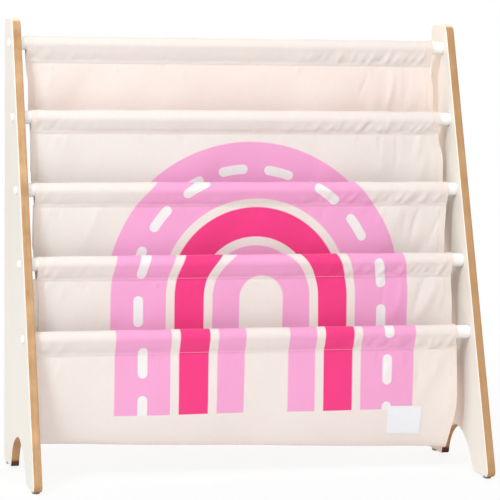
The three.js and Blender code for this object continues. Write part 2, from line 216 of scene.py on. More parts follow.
# place across, least and greatest height of each fold
LONG_FOLDS = (
    (0.235, 0.0008, 0.0014), (0.195, 0.0005, 0.0011), (0.262, 0.0004, 0.0010),
    (0.11, 0.0002, 0.0006), (-0.05, 0.0002, 0.0005), (-0.2, 0.0002, 0.0006))
LONG_FOLD_SHIFT = 0.02
NARROW_FOLDS = (
    (0.247, 0.0006, 0.0012), (0.222, 0.00045, 0.0009), (0.188, 0.0004, 0.0008),
    (0.262, 0.00035, 0.0007), (-0.262, 0.00025, 0.0005))
NARROW_FOLD_SHIFT = 0.012
WAVE_COUNT = 4
WAVE_LENGTHS = (0.07, 0.19)
WAVE_SLANTS = (0.2, 0.5)
WAVE_DEPTH = 0.0004
WAVE_RUN = 0.03

# Stitches
STITCH_LENGTH = 0.0026
STITCH_PITCH = 0.0034
STITCH_WIDTH = 0.00055
STITCH_RISE = 0.00035
STITCH_LIFT = STITCH_RISE / 3
STITCH_CLEARANCE = 0.001
HEM_STITCH_INSET = 0.0080
LABEL_STITCH_INSET = 0.0018

# Label
LABEL_WIDTH = 0.048
LABEL_HEIGHT = 0.038
LABEL_SHIFT = 0.0018
LABEL_THICK = 0.0005
LABEL_CORNER = 0.0012
LABEL_PITCH = 0.0006
LABEL_GAP = 0.0001

# Colours, linear
CREAM = (0.963, 0.917, 0.872, 1)
PINK = (1.0, 0.46, 0.77, 1)
MAGENTA = (1.0, 0.062, 0.285, 1)
PRINT_WHITE = (0.99, 0.99, 0.99, 1)
PRINT_OUTLINE = (1.0, 0.86, 0.87, 1)
# the boards' one paint in two copies, as painted light: darker on the left board, lighter and warmer on the
# right, as if lit by bounce from the cloth
PAINT_LEFT_SHADED = (0.835, 0.86, 0.82, 1)
PAINT_RIGHT_BOUNCE_LIT = (0.925, 0.885, 0.8, 1)
# painted highlight: pale paint along the edge of the paint
PAINT_EDGE_HIGHLIGHT = (0.98, 0.93, 0.84, 1)
WOOD_LIGHT = (0.655, 0.395, 0.203, 1)
WOOD_DARK = (0.45, 0.242, 0.105, 1)
WOOD_PAINTED_SHADE = (0.26, 0.15, 0.07, 1)
REAR_FOOT_PAINTED_SHADE = (0.085, 0.028, 0.008, 1)
TOP_END_PAINTED_HIGHLIGHT = (0.98, 0.76, 0.52, 1)
DOWEL_WHITE = (0.90, 0.89, 0.86, 1)
CAP_WHITE = (0.95, 0.94, 0.91, 1)
GLIDE_GREY = (0.31, 0.32, 0.335, 1)
LABEL_WHITE = (0.90, 0.91, 0.95, 1)
THREAD = (0.96, 0.87, 0.81, 1)
THROUGH_TINT = (1.0, 0.50, 0.36)  # of light that passes through the cloth
CLOTH_THROUGH = 0.18  # how much of the light goes through each face
TAPE_THROUGH = 0.05
# painted shade on the hems: their colour is darkened
HEM_PAINTED_SHADE = (1.0, 0.972, 0.95)  # two layers of cloth let less light through
STEEL = (0.55, 0.56, 0.58, 1)
STEEL_DARK = (0.42, 0.43, 0.45, 1)
FLOOR_PAINT = (0.86, 0.86, 0.86, 1)
PLAIN_WHITE = (1, 1, 1, 1)

# Print: concentric arches over two straight legs, on the hanging sheets
ARCH_X = 0.015
ARCH_Z = 0.235
LEG_LOW_Z = 0.085
BANDS = ((0.030, 0.067, PINK), (0.079, 0.119, MAGENTA), (0.131, 0.205, PINK))
OUTLINE_WIDTH = 0.0012
PRINT_SOFTNESS = 0.0003
PRINT_SHARPNESS = 1 / (2 * PRINT_SOFTNESS)
DASH_RADIUS = 0.0065
DASH_RUN = 0.014  # half of a dash's straight part
DASH_PITCH = 0.064
# where it shows: start and run by height above the lower dowel, and by the share of the way round
PRINT_RISE = (-0.035, 0.025)
PRINT_TURN = (0.5, 0.05)
REVERSE_TURN = (0.47, 0.03)  # the last pocket's front layer shows it on the cloth's reverse side
SLEEVE_PRINT_END = (0.55, 0.1)  # the rear of a sleeve is plain
SHOW_THROUGH = 0.08  # of the other pockets' print, on their reverse side

# Grain, weave and other fine textures: heights in metres, scales per metre
STREAK_SCALES = (420, 14, 14)
STREAK_TONE = 0.6
BROAD_TONE = 0.9
LEAST_TONE = -0.32
PORE_SCALES = (900, 160, 160)
PORE_START = 0.62857
PORE_SHARPNESS = 7.0
PORE_DARKENING = 0.6
PAINT_WANDER = 0.0003
PAINT_ROUGHNESS = 0.44
WOOD_ROUGHNESS = 0.66
BOARD_RELIEF = 0.00008
PEEL_RELIEF = 0.00005
PEEL_SPREAD = 0.1
CANVAS_PITCH = 0.0009
CANVAS_RELIEF = 0.00012
TAPE_PITCH = 0.0005
TAPE_RELIEF = 0.00006
SLUB_SCALES = ((60, 900, 1), (900, 60, 1))
SLUB_TONE = 0.10
TWIST_TONE = 0.12
TWIST_RELIEF = 0.0001
STEEL_ROUGHNESS = 0.25
STEEL_ROUGHNESS_SPREAD = 0.2

# Floor and light
FLOOR_SIZE = 40
FLOOR_GLOW = 0.9  # share of plain white that the camera sees near the shelf
FLOOR_NEAR = 0.6
FLOOR_FADE = 0.1  # added for each metre beyond
WORLD_LEVEL = 0.44
WORLD_TINT = (1.0, 0.845, 0.76, 1)
LIGHT_TARGET = Vector((0, 0, 0.3))  # the middle of the sling
# name, turn to the left and rise in degrees, distance, size, power, colour
LIGHTS = (
    ("key", 44, 38, 3.0, 0.7, 39, (0.91, 1.06, 1.12)),
    ("fill", 5, 28, 3.8, 2.5, 37.5, (0.96, 1.035, 1.065)),
    ("top", 0, 82, 2.4, 1.6, 10, (0.97, 1.0, 1.0)),
    ("back", 140, 25, 3.2, 2.0, 26, (1.0, 0.68, 0.56)),
    ("rear", -150, 30, 3.2, 2.0, 26, (0.98, 1.0, 1.0)),
)

# Camera
CAMERA_PLACE = (-0.8117, -3.2094, 0.6108)
CAMERA_YAW = 0.25874
CAMERA_PITCH = -0.07131
CAMERA_ROLL = 0.015508
CAMERA_LENS = 178.36
CAMERA_SENSOR = 36.0
CAMERA_SHIFT = (-0.0529, -0.1132)

# Places taken from the frame
BOARD_LOW, BOARD_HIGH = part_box("side_panel_right")
INNER_X = BOARD_LOW.x
OUTER_X = BOARD_HIGH.x
BOARD_THICKNESS = OUTER_X - INNER_X
SOLE_Z = BOARD_LOW.z
BOARD_HEIGHT = BOARD_HIGH.z - SOLE_Z
FRONT_SETBACK = FOOT_DEPTH + REAR_OVERHANG - TOP_DEPTH
FRONT_LEAN = math.atan(FRONT_SETBACK / BOARD_HEIGHT)


def middle(node):
    low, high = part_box(node)
    return (low + high) / 2


AXES = [middle(f"dowel_{n + 1}") for n in range(DOWEL_COUNT)]
DOWEL_RADIUS = (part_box("dowel_1")[1].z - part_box("dowel_1")[0].z) / 2
DOWEL_END_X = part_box("dowel_1")[1].x
SCREW_TIP_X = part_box("panel_screw_right_1")[0].x
SLIDES = [middle(f"sling_sleeve_{n + 1}").x for n in range(DOWEL_COUNT)]
SLING_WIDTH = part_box("sling_sleeve_1")[1].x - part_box("sling_sleeve_1")[0].x
# the front foot's tip lies where the dowels' line says
TIP_Y = AXES[0].y - (AXES[0].z - SOLE_Z) * math.tan(FRONT_LEAN) - DOWEL_INSET / math.cos(FRONT_LEAN)
# where the rear foot's painted shade begins
REAR_ARCH_Y = TIP_Y + FOOT_DEPTH - REAR_FOOT_DEPTH - REAR_FOOT_SHADE_REACH


# Modelling helpers

def deselect():
    if bpy.context.mode != "OBJECT":
        bpy.ops.object.mode_set(mode="OBJECT")
    bpy.ops.object.select_all(action="DESELECT")


def choose(*objects):
    deselect()
    for obj in objects:
        obj.select_set(True)
    bpy.context.view_layer.objects.active = objects[0]


def apply_modifier(obj, kind, **settings):
    choose(obj)
    modifier = obj.modifiers.new(kind.title(), kind)
    for key, value in settings.items():
        setattr(modifier, key, value)
    bpy.ops.object.modifier_apply(modifier=modifier.name)


def settle(obj, place=(0, 0, 0), turn=(0, 0, 0)):
    """Puts a piece in place and bakes the place into its mesh."""
    choose(obj)
    obj.location = place
    obj.rotation_euler = turn
    bpy.ops.object.transform_apply(location=True, rotation=True, scale=True)


def copy_of(obj):
    twin = obj.copy()
    twin.data = obj.data.copy()
    bpy.context.scene.collection.objects.link(twin)
    return twin


def joined(objects):
    choose(*objects)
    if len(objects) > 1:
        bpy.ops.object.join()
    return bpy.context.object


def edit_all(obj):
    """Starts edit mode with the whole of a piece selected."""
    choose(obj)
    bpy.ops.object.mode_set(mode="EDIT")
    bpy.ops.mesh.select_all(action="SELECT")


def point_out(obj):
    edit_all(obj)
    bpy.ops.mesh.normals_make_consistent(inside=False)
    bpy.ops.object.mode_set(mode="OBJECT")


def smooth(obj, degrees=32):
    choose(obj)
    bpy.ops.object.shade_smooth_by_angle(angle=math.radians(degrees))


def turned(profile, sides):
    """A turned piece that stands on Z: a disc, extruded and scaled from ring to ring."""
    deselect()
    radius, height = profile[0]
    bpy.ops.mesh.primitive_circle_add(
        vertices=sides, radius=radius, fill_type="NGON", location=(0, 0, height))
    piece = bpy.context.object
    settle(piece, (0, 0, height))
    edit_all(piece)
    for (wide, low), (next_wide, high) in zip(profile, profile[1:]):
        bpy.ops.mesh.extrude_region_move(TRANSFORM_OT_translate={"value": (0, 0, high - low)})
        scale = next_wide / wide
        bpy.ops.transform.resize(value=(scale, scale, 1), center_override=(0, 0, high))
    bpy.ops.object.mode_set(mode="OBJECT")
    point_out(piece)
    return piece


def finish_piece(obj, name, slot, material, *nodes):
    obj.name = name
    obj.data.name = name
    obj.data.materials.clear()
    obj.data.materials.append(material)
    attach(obj, "root")
    if nodes:
        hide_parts(*nodes)
    return obj


def ease(share):
    held = np.clip(share, 0, 1)
    return held * held * (3 - 2 * held)


def risen(value, start, run):
    """Eases from 0 at the start to 1 a run further on."""
    return ease((value - start) / run)


# Material helpers

def wire(tree, node, wires):
    """Links or sets a node's inputs."""
    for key, value in wires.items():
        socket = node.inputs[key]
        if isinstance(value, bpy.types.NodeSocket):
            tree.links.new(value, socket)
        else:
            socket.default_value = value


def put(tree, kind, wires=None, **settings):
    """Adds a node, sets its options, and links or sets its inputs."""
    node = tree.nodes.new("ShaderNode" + kind)
    for key, value in settings.items():
        setattr(node, key, value)
    wire(tree, node, wires or {})
    return node


def maths(tree, operation, *values, clamp=False):
    node = put(tree, "Math", dict(enumerate(values)), operation=operation, use_clamp=clamp)
    return node.outputs[0]


def times(tree, first, second):
    return maths(tree, "MULTIPLY", first, second)


def line(tree, value, slope, start, clamp=False):
    """The value times the slope, with the start added."""
    return maths(tree, "MULTIPLY_ADD", value, slope, start, clamp=clamp)


def past(tree, value, start, sharpness):
    """A mask: 0 at the start and 1 just beyond it, or just before it if the sharpness is negative."""
    return line(tree, value, sharpness, -sharpness * start, clamp=True)


def mix(tree, share, first, second):
    return put(tree, "Mix", {0: share, 6: first, 7: second}, data_type="RGBA").outputs[2]


def scaled(tree, colour, amount):
    return put(tree, "VectorMath", {0: colour, "Scale": amount}, operation="SCALE").outputs[0]


def tinted(tree, colour, tint):
    return put(tree, "VectorMath", {0: colour, 1: tint}, operation="MULTIPLY").outputs[0]


def ramp(tree, share, stops):
    """A colour ramp; the first and the last stop stand first and last in the list."""
    node = put(tree, "ValToRGB", {0: share})
    elements = node.color_ramp.elements
    elements[0].position, elements[0].color = stops[0]
    elements[1].position, elements[1].color = stops[-1]
    for position, colour in stops[1:-1]:
        elements.new(position).color = colour
    return node.outputs


def object_place(tree):
    return put(tree, "TexCoord").outputs["Object"]


def stretched(tree, place, scales):
    return put(tree, "Mapping", {"Vector": place, "Scale": scales}).outputs[0]


def noise(tree, place, scale, detail=2.0, roughness=0.5):
    wires = {"Vector": place, "Scale": scale, "Detail": detail, "Roughness": roughness}
    return put(tree, "TexNoise", wires).outputs[0]


def bump(tree, height, depth, strength):
    return put(tree, "Bump", {"Height": height, "Distance": depth, "Strength": strength}).outputs[0]


def new_group(name, inputs, outputs):
    """A node group with named sockets: its tree, its inputs and its output node."""
    tree = bpy.data.node_groups.new(name, "ShaderNodeTree")
    for label, kind, default in inputs:
        socket = tree.interface.new_socket(label, in_out="INPUT", socket_type="NodeSocket" + kind)
        if default is not None:
            socket.default_value = default
    for label, kind in outputs:
        tree.interface.new_socket(label, in_out="OUTPUT", socket_type="NodeSocket" + kind)
    return tree, tree.nodes.new("NodeGroupInput").outputs, tree.nodes.new("NodeGroupOutput")


def use_group(tree, group, wires):
    return put(tree, "Group", wires, node_tree=group).outputs


def new_material(name, **shader):
    """A material with one Principled shader, its plain values set on the shader itself."""
    material = bpy.data.materials.new(name)
    material.use_nodes = True
    bsdf = material.node_tree.nodes["Principled BSDF"]
    for key, value in shader.items():
        bsdf.inputs[key.replace("_", " ")].default_value = value
    return material, material.node_tree, bsdf


# Shared effects

def mottle_group():
    """Slow change of tone over a surface: a colour, lightened and darkened by soft noise."""
    tree, given, results = new_group(
        "slow_mottle",
        [("Place", "Vector", None), ("Colour", "Color", CREAM), ("Scale", "Float", 12.0),
         ("Amount", "Float", 0.03)],
        [("Colour", "Color")])
    swing = maths(tree, "SUBTRACT", noise(tree, given["Place"], given["Scale"], 3.0), 0.5)
    tone = line(tree, swing, given["Amount"], 1.0)
    wire(tree, results, {"Colour": scaled(tree, given["Colour"], tone)})
    return tree


def weave_group():
    """Plain weave over flat cloth coordinates in metres: the height of the threads, and slubs."""
    tree, given, results = new_group(
        "canvas_weave",
        [("Flat", "Vector", None), ("Pitch", "Float", CANVAS_PITCH)],
        [("Height", "Float"), ("Slub", "Float")])
    turns = maths(tree, "DIVIDE", math.pi, given["Pitch"])
    along, up, _ = put(tree, "SeparateXYZ", {0: given["Flat"]}).outputs
    threads = [maths(tree, "SINE", times(tree, way, turns)) for way in (along, up)]
    slubs = [noise(tree, stretched(tree, given["Flat"], scales), 1.0, 1.0) for scales in SLUB_SCALES]
    slub = times(tree, maths(tree, "ADD", *slubs), 0.5)
    height = line(tree, times(tree, *threads), 0.5, slub)
    wire(tree, results, {"Height": height, "Slub": slub})
    return tree


def print_group():
    """The printed arches, by place: pink and magenta bands on cream, with white dashes."""
    tree, given, results = new_group(
        "arch_print",
        [("Place", "Vector", None), ("Ink", "Float", 1.0), ("Cloth", "Color", CREAM)],
        [("Colour", "Color")])
    place_x, _, place_z = put(tree, "SeparateXYZ", {0: given["Place"]}).outputs
    x = maths(tree, "SUBTRACT", place_x, ARCH_X)
    rise = maths(tree, "SUBTRACT", place_z, ARCH_Z)
    above = maths(tree, "MAXIMUM", rise, 0.0)
    below = maths(tree, "MINIMUM", rise, 0.0)
    radius = maths(tree, "SQRT", line(tree, x, x, times(tree, above, above)))

    ends = BANDS[-1][1] + 2 * OUTLINE_WIDTH
    clear = CREAM[:3] + (0,)
    stops = []
    for low, high, ink in BANDS:
        for edge, out in ((low, -1), (high, 1)):
            stops += [((edge + out * step) / ends, colour) for step, colour in (
                (-PRINT_SOFTNESS, ink),
                (PRINT_SOFTNESS, PRINT_OUTLINE),
                (OUTLINE_WIDTH - PRINT_SOFTNESS, PRINT_OUTLINE),
                (OUTLINE_WIDTH + PRINT_SOFTNESS, clear))]
    share = maths(tree, "DIVIDE", radius, ends)
    band, covered = ramp(tree, share, [(0, clear)] + stops + [(1, clear)])

    # round-ended dashes follow the middle of the widest band
    mid = sum(BANDS[-1][:2]) / 2
    arc = times(tree, maths(tree, "ARCTAN2", above, x), mid)
    along = line(tree, maths(tree, "SIGN", x), below, arc)
    share = maths(tree, "SUBTRACT", maths(tree, "FRACT", maths(tree, "DIVIDE", along, DASH_PITCH)), 0.5)
    offset = line(tree, maths(tree, "ABSOLUTE", share), DASH_PITCH, -DASH_RUN)
    beyond = maths(tree, "MAXIMUM", offset, 0.0)
    out = maths(tree, "SUBTRACT", radius, mid)
    square = line(tree, beyond, beyond, times(tree, out, out))
    dash = past(tree, maths(tree, "SQRT", square), DASH_RADIUS + PRINT_SOFTNESS, -PRINT_SHARPNESS)
    inked = mix(tree, dash, band, PRINT_WHITE)

    legs = past(tree, place_z, LEG_LOW_Z - PRINT_SOFTNESS, PRINT_SHARPNESS)
    shown = times(tree, covered, times(tree, legs, given["Ink"]))
    wire(tree, results, {"Colour": mix(tree, shown, given["Cloth"], inked)})
    return tree


def grain_group():
    """Bare board edge: streaks along the edge and fine dark pores."""
    tree, given, results = new_group(
        "edge_grain",
        [("Place", "Vector", None)],
        [("Colour", "Color"), ("Height", "Float")])
    streaks = noise(tree, stretched(tree, given["Place"], STREAK_SCALES), 1.0, 4.0, 0.6)
    broad = noise(tree, given["Place"], 38.0, 3.0)
    pores = noise(tree, stretched(tree, given["Place"], PORE_SCALES), 1.0)
    tone = line(tree, streaks, STREAK_TONE, line(tree, broad, BROAD_TONE, LEAST_TONE))
    pore = past(tree, pores, PORE_START, PORE_SHARPNESS)
    wood = ramp(tree, tone, [(0.2, WOOD_DARK), (0.7, WOOD_LIGHT)])[0]
    wire(tree, results, {
        "Colour": mix(tree, times(tree, pore, PORE_DARKENING), wood, WOOD_DARK),
        "Height": maths(tree, "SUBTRACT", streaks, pore)})
    return tree


MOTTLE = mottle_group()
WEAVE = weave_group()
PRINT = print_group()
GRAIN = grain_group()


# Materials

def mottled(tree, place, colour, scale, amount=0.05):
    return use_group(tree, MOTTLE, {"Place": place, "Colour": colour, "Scale": scale, "Amount": amount})[0]


def board_material():
    """Satin paint on the faces, bare wood on the edges, with a painted highlight in pale paint between, and
    painted shade and highlight on the bare wood.
    """
    material, tree, bsdf = new_material("painted_board", Specular_IOR_Level=0.4)
    place = object_place(tree)
    x, y, z = put(tree, "SeparateXYZ", {0: place}).outputs
    right = maths(tree, "GREATER_THAN", x, 0.0)
    across = line(tree, maths(tree, "SIGN", x), -(INNER_X + OUTER_X) / 2, x)
    off = line(tree, noise(tree, place, 240.0), PAINT_WANDER, maths(tree, "ABSOLUTE", across))
    lapped = line(tree, maths(tree, "LESS_THAN", across, 0.0), PAINT_OVERLAP, off)
    painted = past(tree, lapped, PAINT_START, PAINT_SHARPNESS)
    fully = past(tree, off, PAINT_FULL, PAINT_SHARPNESS)

    grain = use_group(tree, GRAIN, {"Place": place})
    shade = past(tree, across, EDGE_PAINTED_SHADE_START, EDGE_PAINTED_SHADE_SHARPNESS)
    low = past(tree, z, REAR_FOOT_SHADE_TOP, -REAR_FOOT_SHADE_SHARPNESS)
    behind = past(tree, y, REAR_ARCH_Y, REAR_FOOT_SHADE_SHARPNESS)
    wood = grain["Colour"]
    for share, tone in (
            # painted shade on the right board's wood
            (times(tree, right, RIGHT_WOOD_PAINTED_SHADE), WOOD_DARK),
            # painted shade on each edge's right side
            (times(tree, shade, EDGE_PAINTED_SHADE), WOOD_PAINTED_SHADE),
            # painted shade on the rear foot's arch
            (times(tree, low, behind), REAR_FOOT_PAINTED_SHADE),
            # painted highlight on the top end
            (past(tree, z, TOP_END_HIGHLIGHT_START, TOP_END_HIGHLIGHT_SHARPNESS), TOP_END_PAINTED_HIGHLIGHT)):
        wood = mix(tree, share, wood, tone)

    # painted light: the one paint is darker on the left board and lighter and warmer on the right
    paint = mottled(tree, place, mix(tree, right, PAINT_LEFT_SHADED, PAINT_RIGHT_BOUNCE_LIT), 9.0)
    # painted highlight: pale paint along the edge of the paint, before the face is fully painted
    coat = mix(tree, fully, PAINT_EDGE_HIGHLIGHT, paint)
    relief = put(tree, "Mix", {0: painted, 2: grain["Height"], 3: noise(tree, place, 420.0)},
                 data_type="FLOAT").outputs[0]
    wire(tree, bsdf, {
        "Base Color": mix(tree, painted, wood, coat),
        "Roughness": line(tree, painted, PAINT_ROUGHNESS - WOOD_ROUGHNESS, WOOD_ROUGHNESS),
        "Normal": bump(tree, relief, BOARD_RELIEF, 0.6)})
    return material


def paint_material(name, colour, roughness, scale):
    material, tree, bsdf = new_material(name, Specular_IOR_Level=0.45)
    place = object_place(tree)
    peel = noise(tree, place, 500.0)
    wire(tree, bsdf, {
        "Base Color": mottled(tree, place, colour, scale),
        "Roughness": line(tree, peel, PEEL_SPREAD, roughness - PEEL_SPREAD / 2),
        "Normal": bump(tree, peel, PEEL_RELIEF, 0.5)})
    return material


def cloth_material(name, colour, pitch, depth, share_through, printed):
    """Woven cloth: weave on the flat coordinates, print by place where there is any."""
    material, tree, bsdf = new_material(
        name, Roughness=0.92, Specular_IOR_Level=0.18, Sheen_Weight=0.25, Sheen_Roughness=0.5)
    coordinates = put(tree, "TexCoord").outputs
    weave = use_group(tree, WEAVE, {"Flat": coordinates["UV"], "Pitch": pitch})
    base = mottled(tree, coordinates["Object"], colour, 14.0, 0.03)
    if printed:
        hem, ink = (put(tree, "Attribute", attribute_name=each).outputs["Fac"] for each in ("hem", "ink"))
        # painted shade: the hems' colour is darkened, as two layers of cloth let less light through
        base = mix(tree, hem, base, tinted(tree, base, HEM_PAINTED_SHADE))
        base = use_group(tree, PRINT, {"Place": coordinates["Object"], "Ink": ink, "Cloth": base})["Colour"]
    toned = scaled(tree, base, line(tree, weave["Slub"], SLUB_TONE, 1 - SLUB_TONE / 2))
    wire(tree, bsdf, {"Base Color": toned, "Normal": bump(tree, weave["Height"], depth, 0.5)})
    through = put(tree, "BsdfTranslucent", {"Color": tinted(tree, toned, THROUGH_TINT)})
    blend = put(tree, "MixShader", {0: share_through, 1: bsdf.outputs[0], 2: through.outputs[0]})
    wire(tree, tree.nodes["Material Output"], {"Surface": blend.outputs[0]})
    return material


def thread_material():
    material, tree, bsdf = new_material(
        "stitch_thread", Roughness=0.7, Sheen_Weight=0.2, Specular_IOR_Level=0.3)
    twist = put(tree, "TexWave", {"Vector": object_place(tree), "Scale": 900.0},
                bands_direction="DIAGONAL").outputs[1]
    wire(tree, bsdf, {
        "Base Color": mix(tree, times(tree, twist, TWIST_TONE), THREAD, WOOD_LIGHT),
        "Normal": bump(tree, twist, TWIST_RELIEF, 0.5)})
    return material


def steel_material():
    material, tree, bsdf = new_material("screw_steel", Metallic=1.0)
    spun = noise(tree, object_place(tree), 700.0, 3.0)
    wire(tree, bsdf, {
        "Base Color": ramp(tree, spun, [(0.3, STEEL_DARK), (0.7, STEEL)])[0],
        "Roughness": line(tree, spun, STEEL_ROUGHNESS_SPREAD, STEEL_ROUGHNESS)})
    return material


BOARD = board_material()
DOWEL_PAINT = paint_material("dowel_paint", DOWEL_WHITE, 0.42, 16.0)
CAP_PLASTIC = paint_material("cap_plastic", CAP_WHITE, 0.35, 40.0)
GLIDE_PLASTIC = paint_material("glide_plastic", GLIDE_GREY, 0.6, 60.0)
CANVAS = cloth_material("canvas", CREAM, CANVAS_PITCH, CANVAS_RELIEF, CLOTH_THROUGH, True)
TAPE = cloth_material("label_tape", LABEL_WHITE, TAPE_PITCH, TAPE_RELIEF, TAPE_THROUGH, False)
STITCH_THREAD = thread_material()
SCREW_STEEL = steel_material()


# Side boards

def round_corner(before, corner, after, radius):
    """Points of the arc that rounds a corner of an outline."""
    back = (before - corner).normalized()
    on = (after - corner).normalized()
    half = back.angle(on) / 2
    centre = corner + (back + on).normalized() * (radius / math.sin(half))
    first = corner + back * (radius / math.tan(half)) - centre
    last = corner + on * (radius / math.tan(half)) - centre
    sweep = first.angle(last)
    points = []
    for i in range(ARC_STEPS + 1):
        share = i / ARC_STEPS
        spoke = first * math.sin((1 - share) * sweep) + last * math.sin(share * sweep)
        points.append(centre + spoke / math.sin(sweep))
    return points


def bezier(start, low, high, end):
    """Points between the two ends of a curve."""
    points = []
    for i in range(1, ARCH_STEPS):
        t = i / ARCH_STEPS
        s = 1 - t
        points.append(start * s ** 3 + low * (3 * s * s * t) + high * (3 * s * t * t) + end * t ** 3)
    return points


def board_outline():
    tip = Vector((0, 0))
    arch_front = Vector((FRONT_FOOT_DEPTH, 0))
    arch_rear = Vector((FOOT_DEPTH - REAR_FOOT_DEPTH, 0))
    apex = Vector((arch_front.x + (arch_rear.x - arch_front.x) * ARCH_APEX_SHARE, ARCH_HEIGHT))
    heel = Vector((FOOT_DEPTH, 0))
    top_rear = Vector((FOOT_DEPTH + REAR_OVERHANG, BOARD_HEIGHT))
    top_front = Vector((FRONT_SETBACK, BOARD_HEIGHT))

    def handle(foot, shares):
        return Vector((foot.x + (apex.x - foot.x) * shares[0], ARCH_HEIGHT * shares[1]))

    front_low, front_high = (handle(arch_front, shares) for shares in ARCH_FRONT_SHARES)
    rear_low, rear_high = (handle(arch_rear, shares) for shares in ARCH_REAR_SHARES)
    front_arc = round_corner(tip, arch_front, front_low, ARCH_FOOT_RADIUS)
    rear_arc = round_corner(rear_low, arch_rear, heel, ARCH_FOOT_RADIUS)
    return (
        round_corner(top_front, tip, arch_front, FOOT_RADIUS)
        + front_arc
        + bezier(front_arc[-1], front_low, front_high, apex)
        + [apex]
        + bezier(apex, rear_high, rear_low, rear_arc[0])
        + rear_arc
        + round_corner(arch_rear, heel, top_rear, FOOT_RADIUS)
        + round_corner(heel, top_rear, top_front, TOP_REAR_RADIUS)
        + round_corner(top_rear, top_front, tip, TOP_FRONT_RADIUS))


def dowel_bore(side, axis):
    """Cutter for a dowel's seat, the screw's way through and its head's recess, from inside out."""
    deepest = BOARD_THICKNESS - HEAD_BORE_DEPTH
    cutter = turned([
        (SEAT_RADIUS, -CUT_OVERRUN),
        (SEAT_RADIUS, SEAT_DEPTH),
        (THROUGH_RADIUS, SEAT_DEPTH),
        (THROUGH_RADIUS, deepest),
        (HEAD_BORE_RADIUS, deepest),
        (HEAD_BORE_RADIUS, BOARD_THICKNESS + CUT_OVERRUN),
    ], BORE_SIDES)
    settle(cutter, (side * INNER_X, axis.y, axis.z), (0, side * math.pi / 2, 0))
    return cutter


def pin_hole(glide):
    """Cutter for the hole that a glide's pin goes into."""
    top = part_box(glide)[1].z + SEAT_GAP
    cutter = turned([(PIN_HOLE_RADIUS, SOLE_Z - CUT_OVERRUN), (PIN_HOLE_RADIUS, top)], BORE_SIDES)
    settle(cutter, (middle(glide).x, middle(glide).y, 0))
    return cutter


def side_board(word, side):
    outline = board_outline()
    deselect()
    bpy.ops.mesh.primitive_circle_add(vertices=len(outline), radius=BOARD_HEIGHT, fill_type="NGON")
    board = bpy.context.object
    for vertex, point in zip(board.data.vertices, outline):
        vertex.co = (side * INNER_X, TIP_Y + point.x, SOLE_Z + point.y)
    edit_all(board)
    bpy.ops.mesh.extrude_region_move(TRANSFORM_OT_translate={"value": (side * BOARD_THICKNESS, 0, 0)})
    bpy.ops.object.mode_set(mode="OBJECT")
    point_out(board)
    apply_modifier(board, "BEVEL", width=BOARD_EDGE_ROUND, segments=4, limit_method="ANGLE",
                   angle_limit=math.radians(60), use_clamp_overlap=False)
    cutters = [dowel_bore(side, axis) for axis in AXES]
    cutters += [pin_hole(f"floor_glide_{end}_{word}") for end in ENDS]
    cutter = joined(cutters)
    apply_modifier(board, "BOOLEAN", operation="DIFFERENCE", solver="EXACT", object=cutter)
    bpy.data.objects.remove(cutter)
    smooth(board, degrees=40)
    apply_modifier(board, "WEIGHTED_NORMAL", keep_sharp=True)
    return board


for word, side in SIDES:
    finish_piece(side_board(word, side), f"board_{word}", "painted_wood", BOARD, f"side_panel_{word}")


# Dowels

def dowel_shape():
    """One dowel along Z, with a pilot bore in each end for its screw."""
    bore_end = SCREW_TIP_X - SEAT_GAP
    half = [
        (THROUGH_RADIUS, bore_end),
        (THROUGH_RADIUS, DOWEL_END_X),
        (DOWEL_RADIUS - DOWEL_CHAMFER, DOWEL_END_X),
        (DOWEL_RADIUS, DOWEL_END_X - DOWEL_CHAMFER),
    ]
    return turned([(wide, -high) for wide, high in half] + half[::-1], DOWEL_SIDES)


first_dowel = dowel_shape()
smooth(first_dowel, degrees=40)
for n, axis in enumerate(AXES):
    rail = copy_of(first_dowel)
    settle(rail, (0, axis.y, axis.z), (0, math.pi / 2, 0))
    finish_piece(rail, f"rail_{n + 1}", "painted_dowel", DOWEL_PAINT, f"dowel_{n + 1}")
bpy.data.objects.remove(first_dowel)


# Screw caps and floor glides

def cap_shape():
    """A stem under a thin rim and a low dome."""
    profile = [(CAP_STEM_RADIUS, -CAP_STEM), (CAP_STEM_RADIUS, 0), (CAP_RADIUS, 0), (CAP_RADIUS, CAP_RIM)]
    for i in range(1, CAP_STEPS + 1):
        angle = math.pi / 2 * i / (CAP_STEPS + 1)
        profile.append((CAP_RADIUS * math.cos(angle) ** CAP_CROWN, CAP_RIM + CAP_DOME * math.sin(angle)))
    return turned(profile, CAP_SIDES)


def glide_shape(radius, height):
    """A disc with a rounded foot, and the pin that holds it in the board."""
    profile = []
    for i in range(CAP_STEPS + 1):
        angle = math.pi / 2 * i / CAP_STEPS
        profile.append((radius - GLIDE_ROUND * (1 - math.sin(angle)), GLIDE_ROUND * (1 - math.cos(angle))))
    profile += [(radius, GLIDE_DISC), (GLIDE_PIN_RADIUS, GLIDE_DISC), (GLIDE_PIN_RADIUS, height)]
    return turned(profile, GLIDE_SIDES)


first_cap = cap_shape()
smooth(first_cap)
glide_low, glide_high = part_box("floor_glide_front_left")
first_glide = glide_shape((glide_high.x - glide_low.x) / 2, glide_high.z)
smooth(first_glide)
for word, side in SIDES:
    for n, axis in enumerate(AXES):
        cap = copy_of(first_cap)
        settle(cap, (side * (OUTER_X + SEAT_GAP), axis.y, axis.z), (0, side * math.pi / 2, 0))
        finish_piece(cap, f"cap_{word}_{n + 1}", "cap_plastic", CAP_PLASTIC, f"screw_cap_{word}_{n + 1}")
        screw = frame["nodes"][f"panel_screw_{word}_{n + 1}"]
        screw.data.materials.clear()
        screw.data.materials.append(SCREW_STEEL)
    for end in ENDS:
        node = f"floor_glide_{end}_{word}"
        glide = copy_of(first_glide)
        settle(glide, (middle(node).x, middle(node).y, 0))
        finish_piece(glide, f"glide_{end}_{word}", "glide_plastic", GLIDE_PLASTIC, node)
bpy.data.objects.remove(first_cap)
bpy.data.objects.remove(first_glide)


# Hanging cloth

